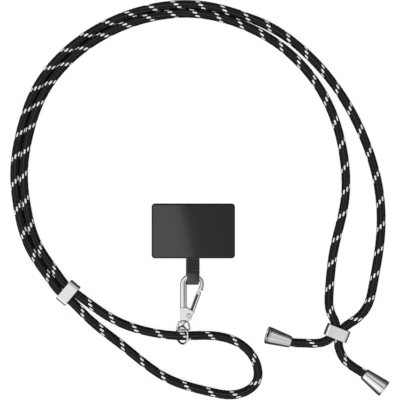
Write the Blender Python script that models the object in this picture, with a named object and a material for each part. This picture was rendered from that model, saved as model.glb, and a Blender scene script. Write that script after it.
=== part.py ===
"""A phone crossbody strap, laid out flat as if on a table.

One long round cord makes two things: a wide body loop, which lies as two strands side by side on its left,
and a small loop that carries a snap hook. Two flat metal tubes hold the strands together, two metal bells
close the cord's ends, and a dark flexible patch with a narrow tongue hangs on the hook.

Metres, +Z up. The strap lies on the plane z = 0.
"""
import math

import bmesh
import bpy
import numpy as np
from mathutils import Matrix, Vector

# The gap that pieces keep where they touch
FIT = 0.0003

# Cord
CORD_DIAMETER = 0.0056
CORD_SIDES_STEP = 4
STRAND_GAP = 0.0005
CORD_LEG = 0.022

# Sliders, the rounded tubes that hold two strands side by side
SLIDER_LENGTH = 0.0076
SLIDER_WALL = 0.0009
SLIDER_CORNER = 0.0026
SLIDER_SIDE_ROOM = 0.0010
SLIDER_EDGE = 0.00025
SLIDER_LEAD = 0.0008
SLIDER_RIGHT_PLACE = (0.0737, -0.0215)
SLIDER_RIGHT_HEADING = math.radians(-112.0)
SLIDER_LEFT_PLACE = (-0.1000, 0.0045)
SLIDER_LEFT_HEADING = math.radians(-40.0)

# End caps, the tapered bells on the cord's ends
CAP_LENGTH = 0.0160
CAP_MOUTH_RADIUS = 0.00575
CAP_NECK_WALL = 0.0008
CAP_WALL = 0.0010
CAP_SHOULDER = 0.0009
CAP_RIM = 0.0003
CAP_CUP_DEPTH = 0.0080
CAP_LEAD = 0.0008
CAP_LEFT_NECK = (0.0436, -0.0273)
CAP_LEFT_HEADING = math.radians(162.6)
CAP_RIGHT_NECK = (0.0912, -0.0479)
CAP_RIGHT_HEADING = math.radians(-36.9)

# Tether patch and its tongue, one sheet
SHEET = 0.00095
PATCH_WIDTH = 0.0542
PATCH_HEIGHT = 0.0357
PATCH_CORNER = 0.0022
PATCH_LEFT = -0.0463
PATCH_BOTTOM = 0.0265
TONGUE_WIDTH = 0.0080
TONGUE_MIDDLE = -0.0191
TONGUE_SIDE_ROOM = 0.0004
TONGUE_FOLD = 0.00965
TONGUE_FOLD_DEPTH = 0.0028
TONGUE_FLAT = 0.0078
TONGUE_SLOPE = 0.0080

# Snap hook, one casting with its post
HOOK_DEPTH = 0.0041
SPINE_WIDTH = 0.0042
ARCH_START = 0.0103
ARCH_RISE = 0.0047
NOSE_NECK_WIDTH = 0.0023
NOSE_WIDTH = 0.0030
NOSE_LEAN = 0.0008
NOSE_END = 0.0059
BASE_BOTTOM = -0.0133
BASE_DEPTH = 0.0046
BASE_FOOT = 0.0009
BASE_SHOULDER = 0.0036
BASE_SHOULDER_UP = 0.0026
BASE_TOP = 0.0053
POST_RADIUS = 0.00065
BALL_RADIUS = 0.0008

# Gate, the sprung lever, and the rivet that it turns on
GATE_WIDTH = 0.0030
GATE_DEPTH = 0.0020
GATE_BOSS_RADIUS = 0.0019
RIVET_RADIUS = 0.0008
RIVET_HEAD_RADIUS = 0.00175
RIVET_HEAD = 0.00045
RIVET_FROM_SPINE = 0.0035
RIVET_FROM_BOTTOM = 0.0031
GATE_ROOT = (0.0018, 0.0019)

# Swivel eye, the stirrup that turns on the post
EYE_WIRE = 0.0013
EYE_COLLAR = 0.0016
EYE_COLLAR_RADIUS = 0.0018
EYE_TOP_WIDTH = 0.0062
EYE_FOOT_WIDTH = 0.0084
EYE_HEIGHT = 0.0051
EYE_CORNER = 0.0011

# Small round ring that the cord runs through
RING_WIRE = 0.0013
RING_ROOM = 0.0030
RING_LEAN = math.radians(50)
RING_FROM_POST = -0.0007
RING_BELOW_EYE = 0.0032

# The cord's route, chosen along the photographed cord. Each point is the middle of the cord seen from above.
# The twin run is the middle line between the two strands that lie side by side.
TWIN_RUN = [
    (-0.1105, 0.0162), (-0.1222, 0.0339), (-0.1297, 0.0583), (-0.1319, 0.0839), (-0.1282, 0.1081),
    (-0.1181, 0.1357), (-0.0990, 0.1591), (-0.0727, 0.1766), (-0.0422, 0.1865), (-0.0123, 0.1874),
    (0.0118, 0.1812),
]
RIGHT_OUTER = [
    (0.0280, 0.1778), (0.0534, 0.1600), (0.0750, 0.1350), (0.0914, 0.1044), (0.1010, 0.0709),
    (0.1019, 0.0397), (0.0973, 0.0098), (0.0932, -0.0047), (0.0847, -0.0138),
]
RIGHT_INNER = [
    (0.0264, 0.1713), (0.0485, 0.1544), (0.0673, 0.1285), (0.0778, 0.0956), (0.0787, 0.0625),
    (0.0721, 0.0332), (0.0689, 0.0059), (0.0701, -0.0092),
]
SMALL_LOOP_UPPER = [(-0.0877, -0.0016), (-0.0701, -0.0132), (-0.0487, -0.0207)]
SMALL_LOOP_AT_RING = (-0.0262, -0.0232)
SMALL_LOOP_LOWER = [
    (-0.0045, -0.0236), (0.0115, -0.0289), (0.0212, -0.0405), (0.0218, -0.0528), (0.0124, -0.0604),
    (-0.0103, -0.0593), (-0.0357, -0.0511), (-0.0643, -0.0303), (-0.0903, -0.0089),
]
LEFT_TAIL = [(0.0540, -0.0282), (0.0630, -0.0280)]
RIGHT_TAIL = [(0.0750, -0.0306), (0.0788, -0.0388)]

# What follows from the sizes above
CORD_RADIUS = CORD_DIAMETER / 2
STRAND_PITCH = CORD_DIAMETER + STRAND_GAP
SLIDER_WIDTH = STRAND_PITCH + CORD_DIAMETER + 2 * SLIDER_SIDE_ROOM + 2 * SLIDER_WALL
SLIDER_DEPTH = CORD_DIAMETER + 2 * FIT + 2 * SLIDER_WALL
CAP_BORE = CORD_RADIUS + FIT
CAP_NECK_RADIUS = CAP_BORE + CAP_NECK_WALL
CAP_TAPER = math.atan2(CAP_MOUTH_RADIUS - CAP_NECK_RADIUS, CAP_LENGTH - CAP_SHOULDER)
CAP_NECK_LIFT = CAP_NECK_RADIUS * math.cos(CAP_TAPER) - CAP_SHOULDER * math.sin(CAP_TAPER)
CORD_IN_CAP = CAP_LENGTH - CAP_CUP_DEPTH - FIT
HOOK_LIFT = SHEET + FIT + HOOK_DEPTH / 2
TONGUE_TOP = HOOK_LIFT + HOOK_DEPTH / 2 + FIT + SHEET
SPINE_X = TONGUE_MIDDLE - TONGUE_WIDTH / 2 - TONGUE_SIDE_ROOM - SPINE_WIDTH / 2
NOSE_X = TONGUE_MIDDLE + TONGUE_WIDTH / 2 + TONGUE_SIDE_ROOM + NOSE_NECK_WIDTH / 2
RIVET_X = SPINE_X + RIVET_FROM_SPINE
RIVET_Y = BASE_BOTTOM + RIVET_FROM_BOTTOM
EYE_TOP_Y = BASE_BOTTOM - FIT - EYE_COLLAR / 2
EYE_FOOT_Y = EYE_TOP_Y - EYE_HEIGHT
POST_END_Y = EYE_TOP_Y - EYE_COLLAR / 2 - FIT - BALL_RADIUS
RING_RADIUS = (CORD_DIAMETER + EYE_WIRE + RING_ROOM + RING_WIRE) / 2
RING_LIFT = RING_RADIUS * math.sin(RING_LEAN) + RING_WIRE / 2
RING_X = SPINE_X + RING_FROM_POST
RING_Y = EYE_FOOT_Y - RING_BELOW_EYE


def clear_scene():
    """Empties the file that the script runs in."""
    for item in list(bpy.data.objects):
        bpy.data.objects.remove(item, do_unlink=True)


def finish(name, colour, roughness, metallic):
    """A plain Principled material."""
    made = bpy.data.materials.new(name)
    made.use_nodes = True
    shader = made.node_tree.nodes["Principled BSDF"]
    shader.inputs["Base Color"].default_value = (*colour, 1.0)
    shader.inputs["Roughness"].default_value = roughness
    shader.inputs["Metallic"].default_value = metallic
    return made


def stack_mesh(name, loops, wrapped):
    """A closed mesh through a stack of loops with equal point counts. Wrapped joins the last loop to the first."""
    loops = np.asarray(loops, float)
    count, around = loops.shape[:2]
    corners = loops.reshape(-1, 3)
    faces = []
    for i in range(count if wrapped else count - 1):
        here, after = i * around, (i + 1) % count * around
        for j in range(around):
            k = (j + 1) % around
            faces.append((here + j, here + k, after + k, after + j))
    if not wrapped:
        faces.append(tuple(range(around)))
        faces.append(tuple(range((count - 1) * around, count * around)))
    mesh = bpy.data.meshes.new(name)
    mesh.from_pydata([tuple(p) for p in corners], [], faces)
    tidy = bmesh.new()
    tidy.from_mesh(mesh)
    bmesh.ops.recalc_face_normals(tidy, faces=tidy.faces)
    tidy.to_mesh(mesh)
    tidy.free()
    return mesh


def slab_mesh(name, outline, low, high, edge=0.0):
    """A flat outline raised from z low to z high, with small bevels round its top and bottom."""
    made = bmesh.new()
    base = made.faces.new([made.verts.new((x, y, low)) for x, y in outline])
    raised = bmesh.ops.extrude_face_region(made, geom=[base])
    lifted = [v for v in raised["geom"] if isinstance(v, bmesh.types.BMVert)]
    bmesh.ops.translate(made, verts=lifted, vec=(0, 0, high - low))
    bmesh.ops.recalc_face_normals(made, faces=made.faces)
    if edge:
        rims = [e for e in made.edges if abs(e.verts[0].co.z - e.verts[1].co.z) < edge]
        bmesh.ops.bevel(made, geom=rims, offset=edge, segments=1, affect="EDGES")
    mesh = bpy.data.meshes.new(name)
    made.to_mesh(mesh)
    made.free()
    return mesh


def add(name, mesh, material, place=(0, 0, 0), turn=(0, 0, 0), parent=None):
    """Puts a mesh in the scene as a named, smooth-shaded object."""
    made = bpy.data.objects.new(name, mesh)
    bpy.context.scene.collection.objects.link(made)
    made.data.materials.append(material)
    mesh.shade_smooth()
    mesh.set_sharp_from_angle(angle=math.radians(35))
    seat = Vector(place)
    if parent:
        made.parent = parent
        seat = seat - parent_place(parent)
    made.location = seat
    made.rotation_euler = turn
    return made


def add_seated(name, mesh, material, place, parent):
    """Adds a mesh given in world coordinates as an object whose own origin is at place."""
    mesh.transform(Matrix.Translation(-Vector(place)))
    return add(name, mesh, material, place, parent=parent)


def add_empty(name, place, parent=None):
    """An unturned empty, for a joint's axis."""
    made = bpy.data.objects.new(name, None)
    bpy.context.scene.collection.objects.link(made)
    made.empty_display_size = 0.01
    made.parent = parent
    made.location = Vector(place) - (parent_place(parent) if parent else Vector((0, 0, 0)))
    return made


def parent_place(item):
    """World position of an unturned empty under unturned parents."""
    place = item.location.copy()
    while item.parent:
        item = item.parent
        place = place + item.location
    return place


def combine(target, mesh, operation, parent=None):
    """Adds or cuts a helper shape, given in world coordinates, with a Boolean that stays live."""
    helper = bpy.data.objects.new(mesh.name, mesh)
    bpy.context.scene.collection.objects.link(helper)
    helper.hide_render = True
    helper.display_type = "WIRE"
    if parent:
        helper.parent = parent
        helper.location = -parent_place(parent)
    step = target.modifiers.new(mesh.name, "BOOLEAN")
    step.operation = operation
    step.object = helper
    return helper


def circle(radius, sides, start=-math.pi / 2):
    """Points round a circle, the first one at the bottom."""
    turn = start + np.arange(sides) * 2 * math.pi / sides
    return np.stack([radius * np.cos(turn), radius * np.sin(turn)], 1)


def turned_along(axis, profile, sides, centre=(0, 0, 0)):
    """Loops of a turned shape: each (along, radius) of the profile is a circle round the axis x, y or z."""
    loops = []
    for along, radius in profile:
        ring = circle(radius, sides)
        flat = np.full(sides, along)
        columns = {
            "x": (flat, ring[:, 0], ring[:, 1]),
            "y": (ring[:, 0], flat, ring[:, 1]),
            "z": (ring[:, 0], ring[:, 1], flat),
        }[axis]
        loops.append(np.stack(columns, 1) + centre)
    return loops


def rounded_box_outline(width, height, corner, steps):
    """A rectangle with round corners, centred, counter-clockwise."""
    points = []
    quarters = ((1, 1, 0), (-1, 1, 1), (-1, -1, 2), (1, -1, 3))
    for side_x, side_y, quarter in quarters:
        for k in range(steps + 1):
            turn = (quarter + k / steps) * math.pi / 2
            points.append((
                side_x * (width / 2 - corner) + corner * math.cos(turn),
                side_y * (height / 2 - corner) + corner * math.sin(turn),
            ))
    return points


def smooth_curve(points, counts):
    """Natural cubic curve through points, spaced by chord length. Leg i gives counts[i] places, and the end one more."""
    points = np.asarray(points, float)
    legs = np.linalg.norm(np.diff(points, axis=0), axis=1)
    size = len(points)
    lhs = np.zeros((size, size))
    rhs = np.zeros_like(points)
    lhs[0, 0] = lhs[-1, -1] = 1
    slopes = np.diff(points, axis=0) / legs[:, None]
    for i in range(1, size - 1):
        lhs[i, i - 1 : i + 2] = legs[i - 1], 2 * (legs[i - 1] + legs[i]), legs[i]
        rhs[i] = 6 * (slopes[i] - slopes[i - 1])
    bend = np.linalg.solve(lhs, rhs)
    made = []
    for i, leg in enumerate(legs):
        after = np.arange(counts[i])[:, None] / counts[i] * leg
        before = leg - after
        made.append(
            (bend[i] * before**3 + bend[i + 1] * after**3) / (6 * leg)
            + (points[i] / leg - bend[i] * leg / 6) * before
            + (points[i + 1] / leg - bend[i + 1] * leg / 6) * after
        )
    return np.vstack([*made, points[-1:]])


def side_strand(middle, side):
    """A strand's points half a pitch to one side of a middle line, 1 for its left and -1 for its right."""
    fine = 8
    drawn = smooth_curve(middle, [fine] * (len(middle) - 1))
    along = np.gradient(drawn, axis=0)[::fine]
    along = along / np.linalg.norm(along, axis=1)[:, None]
    across = np.stack([-along[:, 1], along[:, 0]], 1)
    return np.asarray(middle) + across * side * STRAND_PITCH / 2


def lane(place, heading, side):
    """Where one strand starts and ends its straight way through a slider, in the order of the heading."""
    along = np.array([math.cos(heading), math.sin(heading)])
    across = np.array([-along[1], along[0]])
    middle = np.array(place) + across * side * STRAND_PITCH / 2
    reach = SLIDER_LENGTH / 2 + SLIDER_LEAD
    return [middle - along * reach, middle + along * reach]


def cord_route():
    """The cord's points from end to end, as x, y and the height of its middle."""
    rest = CORD_RADIUS
    held = SLIDER_DEPTH / 2
    route = []

    def lay(points, height):
        route.extend((float(x), float(y), height) for x, y in points)

    def cap_axis(neck, heading):
        reach = CORD_IN_CAP * math.cos(CAP_TAPER)
        inner = (neck[0] + reach * math.cos(heading), neck[1] + reach * math.sin(heading))
        return inner, CAP_NECK_LIFT + CORD_IN_CAP * math.sin(CAP_TAPER)

    def cap_lead(neck, heading):
        return neck[0] - CAP_LEAD * math.cos(heading), neck[1] - CAP_LEAD * math.sin(heading)

    inner, lift = cap_axis(CAP_LEFT_NECK, CAP_LEFT_HEADING)
    lay([inner], lift)
    lay([cap_lead(CAP_LEFT_NECK, CAP_LEFT_HEADING)], CAP_NECK_LIFT)
    lay(LEFT_TAIL, rest)
    lay(lane(SLIDER_RIGHT_PLACE, SLIDER_RIGHT_HEADING, -1)[::-1], held)
    lay(RIGHT_INNER[::-1], rest)
    lay(side_strand(TWIN_RUN, -1)[::-1], rest)
    lay(lane(SLIDER_LEFT_PLACE, SLIDER_LEFT_HEADING, 1), held)
    lay(SMALL_LOOP_UPPER, rest)
    lay([SMALL_LOOP_AT_RING], RING_LIFT)
    lay(SMALL_LOOP_LOWER, rest)
    lay(lane(SLIDER_LEFT_PLACE, SLIDER_LEFT_HEADING, -1)[::-1], held)
    lay(side_strand(TWIN_RUN, 1), rest)
    lay(RIGHT_OUTER, rest)
    lay(lane(SLIDER_RIGHT_PLACE, SLIDER_RIGHT_HEADING, 1), held)
    lay(RIGHT_TAIL, rest)
    lay([cap_lead(CAP_RIGHT_NECK, CAP_RIGHT_HEADING)], CAP_NECK_LIFT)
    inner, lift = cap_axis(CAP_RIGHT_NECK, CAP_RIGHT_HEADING)
    lay([inner], lift)
    return np.array(route)


def cord_points(leg_length):
    """Points read from the smooth route: a cubic in plan, and an eased step in height, which never dips."""
    route = cord_route()
    flat = np.linalg.norm(np.diff(route[:, :2], axis=0), axis=1)
    counts = [max(1, round(leg / leg_length)) for leg in flat]
    plan = smooth_curve(route[:, :2], counts)
    heights = []
    for i, count in enumerate(counts):
        share = np.arange(count) / count
        eased = share * share * (3 - 2 * share)
        heights.append(route[i, 2] + (route[i + 1, 2] - route[i, 2]) * eased)
    heights.append(route[-1:, 2])
    return np.column_stack([plan, np.concatenate(heights)])


def make_cord(material):
    """The cord as one round tube with closed ends."""
    points = cord_points(CORD_LEG)
    curve = bpy.data.curves.new("cord", "CURVE")
    curve.dimensions = "3D"
    curve.bevel_depth = CORD_RADIUS
    curve.bevel_resolution = CORD_SIDES_STEP
    curve.use_fill_caps = True
    line = curve.splines.new("POLY")
    line.points.add(len(points) - 1)
    for point, place in zip(line.points, points):
        point.co = (*place, 1.0)
    curve.materials.append(material)
    made = bpy.data.objects.new("cord", curve)
    bpy.context.scene.collection.objects.link(made)
    return made


def make_slider(name, place, heading, material):
    """A rounded rectangular tube on its side, its wall chamfered at both mouths."""
    half, edge, wall = SLIDER_LENGTH / 2, SLIDER_EDGE, SLIDER_WALL
    wall_section = [
        (edge, -half), (0, edge - half), (0, half - edge), (edge, half),
        (wall - edge, half), (wall, half - edge), (wall, edge - half), (wall - edge, -half),
    ]
    loops = []
    for inset, along in wall_section:
        outline = rounded_box_outline(
            SLIDER_WIDTH - 2 * inset, SLIDER_DEPTH - 2 * inset, SLIDER_CORNER - inset, 4
        )
        loops.append([(along, across, up) for across, up in outline])
    mesh = stack_mesh(name, loops, True)
    return add(name, mesh, material, (*place, SLIDER_DEPTH / 2), (0, 0, heading))


def make_cap(name, neck, heading, material):
    """A tapered bell with a bore for the cord at its neck and an open cup at its mouth, lying on its side."""
    cup = CAP_LENGTH - CAP_CUP_DEPTH

    def outer(along):
        return CAP_NECK_RADIUS + (along - CAP_SHOULDER) * math.tan(CAP_TAPER)

    section = [
        (0, CAP_BORE),
        (0, outer(0) - CAP_SHOULDER * 0.6),
        (CAP_SHOULDER * 0.3, outer(CAP_SHOULDER) - CAP_SHOULDER * 0.2),
        (CAP_SHOULDER, outer(CAP_SHOULDER)),
        (CAP_LENGTH - CAP_RIM, outer(CAP_LENGTH - CAP_RIM)),
        (CAP_LENGTH, outer(CAP_LENGTH - CAP_RIM) - CAP_RIM),
        (CAP_LENGTH, CAP_MOUTH_RADIUS - CAP_WALL),
        (cup, outer(cup) - CAP_WALL),
        (cup, CAP_BORE),
    ]
    mesh = stack_mesh(name, turned_along("x", section, 24), True)
    return add(name, mesh, material, (*neck, CAP_NECK_LIFT), (0, -CAP_TAPER, heading))


def make_ring(material):
    """A closed ring of round wire, leaning with its right side up."""
    sides, wire_sides = 24, 8
    loops = []
    for turn in np.arange(sides) * 2 * math.pi / sides:
        out = np.array([math.cos(turn), math.sin(turn), 0])
        wire = circle(RING_WIRE / 2, wire_sides)
        loops.append([out * (RING_RADIUS + u) + (0, 0, v) for u, v in wire])
    mesh = stack_mesh("cord_ring", loops, True)
    return add("cord_ring", mesh, material, (RING_X, RING_Y, RING_LIFT), (0, -RING_LEAN, 0))


def wire_loop(outline, radius, sides, centre):
    """Loops of round wire along a closed flat outline."""
    outline = np.asarray(outline, float)
    along = np.roll(outline, -1, 0) - np.roll(outline, 1, 0)
    along /= np.linalg.norm(along, axis=1)[:, None]
    out = np.stack([along[:, 1], -along[:, 0]], 1)
    loops = []
    for place, way in zip(outline, out):
        ring = circle(radius, sides)
        loops.append([(*(place + way * u), v) + np.asarray(centre) for u, v in ring])
    return loops


def make_eye(material):
    """A round-wire stirrup, wider at its foot, with a drilled collar at its top for the post."""
    corners = [
        (EYE_FOOT_WIDTH / 2, EYE_FOOT_Y), (EYE_TOP_WIDTH / 2, EYE_TOP_Y),
        (-EYE_TOP_WIDTH / 2, EYE_TOP_Y), (-EYE_FOOT_WIDTH / 2, EYE_FOOT_Y),
    ]
    outline = []
    for i, corner in enumerate(corners):
        corner = np.array(corner)
        before = np.array(corners[i - 1]) - corner
        after = np.array(corners[(i + 1) % 4]) - corner
        before, after = (EYE_CORNER * way / np.linalg.norm(way) for way in (before, after))
        for share in (0, 0.25, 0.5, 0.75, 1):
            outline.append(corner + before * (1 - share) ** 2 + after * share**2)
    centre = (SPINE_X, 0, HOOK_LIFT)
    mesh = stack_mesh("swivel_eye", wire_loop(outline, EYE_WIRE / 2, 10, centre), True)
    made = add("swivel_eye", mesh, material)
    low, high = EYE_TOP_Y - EYE_COLLAR / 2, EYE_TOP_Y + EYE_COLLAR / 2
    collar = [(low, EYE_COLLAR_RADIUS - FIT), (low + FIT, EYE_COLLAR_RADIUS)]
    collar += [(high - FIT, EYE_COLLAR_RADIUS), (high, EYE_COLLAR_RADIUS - FIT)]
    combine(made, stack_mesh("eye_collar", turned_along("y", collar, 16, centre), False), "UNION")
    bore = [(low - EYE_WIRE, POST_RADIUS + FIT), (high + EYE_WIRE, POST_RADIUS + FIT)]
    combine(made, stack_mesh("eye_bore", turned_along("y", bore, 16, centre), False), "DIFFERENCE")
    return made


def bar_loops(stations, depth, sides):
    """Loops of an oval bar in the hook's plane. Each station is x, y and the bar's width there."""
    stations = np.asarray(stations, float)
    along = np.gradient(stations[:, :2], axis=0)
    along /= np.linalg.norm(along, axis=1)[:, None]
    out = np.stack([along[:, 1], -along[:, 0]], 1)
    oval = circle(1.0, sides)
    loops = []
    for (x, y, width), way in zip(stations, out):
        loops.append([
            (x + way[0] * u * width / 2, y + way[1] * u * width / 2, HOOK_LIFT + v * depth / 2) for u, v in oval
        ])
    return loops


def make_hook(material, parent, place):
    """Spine, half-oval arch and nose as one oval bar, on a slotted base with a post that ends in a ball."""
    middle, reach = (SPINE_X + NOSE_X) / 2, (NOSE_X - SPINE_X) / 2
    stations = [(SPINE_X, y, SPINE_WIDTH) for y in np.linspace(RIVET_Y, ARCH_START, 3, endpoint=False)]
    for share in np.linspace(0, 1, 13):
        turn = math.pi * (1 - share)
        width = SPINE_WIDTH + (NOSE_NECK_WIDTH - SPINE_WIDTH) * share
        stations.append((middle + reach * math.cos(turn), ARCH_START + ARCH_RISE * math.sin(turn), width))
    for share in (0.3, 0.65, 1.0):
        eased = share * share * (3 - 2 * share)
        width = NOSE_NECK_WIDTH + (NOSE_WIDTH - NOSE_NECK_WIDTH) * eased
        stations.append((NOSE_X - NOSE_LEAN * eased, ARCH_START - (ARCH_START - NOSE_END) * share, width))
    frame = stack_mesh("hook_frame", bar_loops(stations, HOOK_DEPTH, 16), False)
    made = add_seated("hook_frame", frame, material, place, parent)

    left, right = SPINE_X - SPINE_WIDTH / 2, SPINE_X + SPINE_WIDTH / 2
    low, high = HOOK_LIFT - BASE_DEPTH / 2, HOOK_LIFT + BASE_DEPTH / 2
    base = [
        (left, BASE_BOTTOM),
        (RIVET_X + BASE_FOOT, BASE_BOTTOM),
        (RIVET_X + BASE_SHOULDER, RIVET_Y + BASE_SHOULDER_UP),
        (right, RIVET_Y + BASE_TOP),
        (left, RIVET_Y + BASE_TOP),
    ]
    combine(made, slab_mesh("hook_base", base, low, high, FIT), "UNION", parent)
    centre = (SPINE_X, 0, HOOK_LIFT)
    neck = POST_END_Y + math.sqrt(BALL_RADIUS**2 - POST_RADIUS**2)
    post = [(RIVET_Y, POST_RADIUS), (neck, POST_RADIUS)]
    for turn in np.radians([60, 90, 120, 150, 172]):
        post.append((POST_END_Y + BALL_RADIUS * math.cos(turn), BALL_RADIUS * math.sin(turn)))
    combine(made, stack_mesh("hook_post", turned_along("y", post, 16, centre), False), "UNION", parent)

    reach = GATE_BOSS_RADIUS + FIT
    far = RIVET_X + BASE_SHOULDER + reach
    slot = [
        (RIVET_X - reach, RIVET_Y - reach),
        (far, RIVET_Y - reach),
        (far, RIVET_Y + BASE_TOP + reach),
        (right + FIT, RIVET_Y + BASE_TOP + reach),
        (right + FIT, RIVET_Y + BASE_SHOULDER_UP),
        (RIVET_X - reach, RIVET_Y + reach / 2),
    ]
    half = GATE_DEPTH / 2 + FIT
    combine(made, slab_mesh("gate_slot", slot, HOOK_LIFT - half, HOOK_LIFT + half), "DIFFERENCE", parent)
    hole = [(low - RIVET_HEAD, RIVET_RADIUS + FIT), (high + RIVET_HEAD, RIVET_RADIUS + FIT)]
    hole = turned_along("z", hole, 16, (RIVET_X, RIVET_Y, 0))
    combine(made, stack_mesh("rivet_hole", hole, False), "DIFFERENCE", parent)
    return made


def make_gate(material, parent, place):
    """A flat-sided oval lever from a drilled boss to the tip that closes on the nose."""
    tip = (NOSE_X - NOSE_LEAN - GATE_WIDTH * 0.3, NOSE_END - 2 * FIT)
    root = (RIVET_X + GATE_ROOT[0], RIVET_Y + GATE_ROOT[1])
    stations = [(RIVET_X + FIT, RIVET_Y, GATE_WIDTH)]
    for share in (0, 0.5, 1):
        x, y = (a + (b - a) * share for a, b in zip(root, tip))
        stations.append((x, y, GATE_WIDTH))
    loops = bar_loops(stations, GATE_DEPTH, 12)
    made = add_seated("gate", stack_mesh("gate", loops, False), material, place, parent)
    low, high = HOOK_LIFT - GATE_DEPTH / 2, HOOK_LIFT + GATE_DEPTH / 2
    centre = (RIVET_X, RIVET_Y, 0)
    boss = turned_along("z", [(low, GATE_BOSS_RADIUS), (high, GATE_BOSS_RADIUS)], 20, centre)
    combine(made, stack_mesh("gate_boss", boss, False), "UNION", parent)
    hole = [(low - GATE_DEPTH, RIVET_RADIUS + FIT), (high + GATE_DEPTH, RIVET_RADIUS + FIT)]
    hole = turned_along("z", hole, 16, centre)
    combine(made, stack_mesh("gate_hole", hole, False), "DIFFERENCE", parent)
    return made


def make_rivet(material, parent, place):
    """A pin with a low domed head outside each cheek."""
    seat = BASE_DEPTH / 2 + FIT
    top = [(seat, RIVET_HEAD_RADIUS), (seat + RIVET_HEAD * 0.6, RIVET_HEAD_RADIUS * 0.85)]
    top.append((seat + RIVET_HEAD, RIVET_HEAD_RADIUS * 0.45))
    half = [(seat, RIVET_RADIUS)] + top
    section = [(-along, radius) for along, radius in half[::-1]] + half
    loops = turned_along("z", section, 16, (RIVET_X, RIVET_Y, HOOK_LIFT))
    return add_seated("gate_rivet", stack_mesh("gate_rivet", loops, False), material, place, parent)


def fold_outline(inset):
    """The tongue's fold seen from its side, from under the hook round to over it, as a squarish half oval."""
    deep, tall = TONGUE_FOLD_DEPTH - inset, TONGUE_TOP / 2 - inset
    points = []
    for turn in np.radians(np.linspace(270, 90, 11)):
        away, up = math.cos(turn), math.sin(turn)
        points.append((
            TONGUE_FOLD + TONGUE_FOLD_DEPTH - deep * abs(away) ** 0.6,
            TONGUE_TOP / 2 + tall * math.copysign(abs(up) ** 0.6, up),
        ))
    return points


def make_patch(material, parent, place):
    """The sheet: a rounded patch, and a tongue that rises over the hook's arch, folds and comes back under it."""
    corners = rounded_box_outline(PATCH_WIDTH, PATCH_HEIGHT, PATCH_CORNER, 6)
    middle = (PATCH_LEFT + PATCH_WIDTH / 2, PATCH_BOTTOM + PATCH_HEIGHT / 2)
    outline = [(middle[0] + x, middle[1] + y) for x, y in corners]
    made = add_seated("tether_patch", slab_mesh("tether_patch", outline, 0, SHEET), material, place, parent)

    slope_start = TONGUE_FOLD + TONGUE_FLAT
    shares = np.linspace(0, 1, 9)
    eased = shares * shares * (3 - 2 * shares)
    upper = np.column_stack([slope_start + shares * TONGUE_SLOPE, TONGUE_TOP + (SHEET - TONGUE_TOP) * eased])
    along = np.gradient(upper, axis=0)
    along /= np.linalg.norm(along, axis=1)[:, None]
    under = upper - np.stack([-along[:, 1], along[:, 0]], 1) * SHEET
    inside = under[under[:, 1] > SHEET]
    last, after = inside[-1], under[len(inside)]
    meet = last + (after - last) * (last[1] - SHEET) / (last[1] - after[1])

    sunk = SHEET / 4
    outer = fold_outline(0) + [tuple(p) for p in upper]
    outer += [(PATCH_BOTTOM - FIT, SHEET), (PATCH_BOTTOM + PATCH_CORNER, SHEET - sunk)]
    outer += [(PATCH_BOTTOM + PATCH_CORNER, sunk), (PATCH_BOTTOM - FIT, 0)]
    hole = fold_outline(SHEET) + [tuple(p) for p in inside] + [tuple(meet)]
    sideways = Matrix(((0, 0, 1, 0), (1, 0, 0, 0), (0, 1, 0, 0), (0, 0, 0, 1)))
    low, high = TONGUE_MIDDLE - TONGUE_WIDTH / 2, TONGUE_MIDDLE + TONGUE_WIDTH / 2
    strip = slab_mesh("tongue", outer, low, high)
    strip.transform(sideways)
    combine(made, strip, "UNION", parent)
    eye = slab_mesh("tongue_loop", hole, low - SHEET, high + SHEET)
    eye.transform(sideways)
    combine(made, eye, "DIFFERENCE", parent)
    return made


clear_scene()
cord_finish = finish("black_cord", (0.03, 0.028, 0.032), 0.7, 0.0)
satin_finish = finish("satin_silver", (0.72, 0.72, 0.72), 0.32, 1.0)
polished_finish = finish("polished_silver", (0.8, 0.8, 0.79), 0.15, 1.0)
sheet_finish = finish("dark_coated_sheet", (0.035, 0.035, 0.036), 0.4, 0.0)

make_cord(cord_finish)
make_slider("slider_right", SLIDER_RIGHT_PLACE, SLIDER_RIGHT_HEADING, satin_finish)
make_slider("slider_left", SLIDER_LEFT_PLACE, SLIDER_LEFT_HEADING, satin_finish)
make_cap("end_cap_left", CAP_LEFT_NECK, CAP_LEFT_HEADING, polished_finish)
make_cap("end_cap_right", CAP_RIGHT_NECK, CAP_RIGHT_HEADING, polished_finish)
make_ring(polished_finish)
make_eye(polished_finish)

swivel_place = (SPINE_X, BASE_BOTTOM, HOOK_LIFT)
swivel = add_empty("swivel_axis", swivel_place)
make_hook(polished_finish, swivel, swivel_place)
make_patch(sheet_finish, swivel, (PATCH_LEFT + PATCH_WIDTH / 2, PATCH_BOTTOM + PATCH_HEIGHT / 2, 0))
rivet_place = (RIVET_X, RIVET_Y, HOOK_LIFT)
make_rivet(polished_finish, swivel, rivet_place)
gate_axis = add_empty("gate_axis", rivet_place, swivel)
make_gate(polished_finish, gate_axis, rivet_place)
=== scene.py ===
"""The looks of a phone crossbody strap, laid out flat on a pale table.

A black braided cord with a winding row of white stitches, satin tube sliders, polished bell ends, a polished
snap hook on a small ring, and a dark coated patch whose tongue is looped round the hook. Metres, +Z up.
"""
import math

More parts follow.
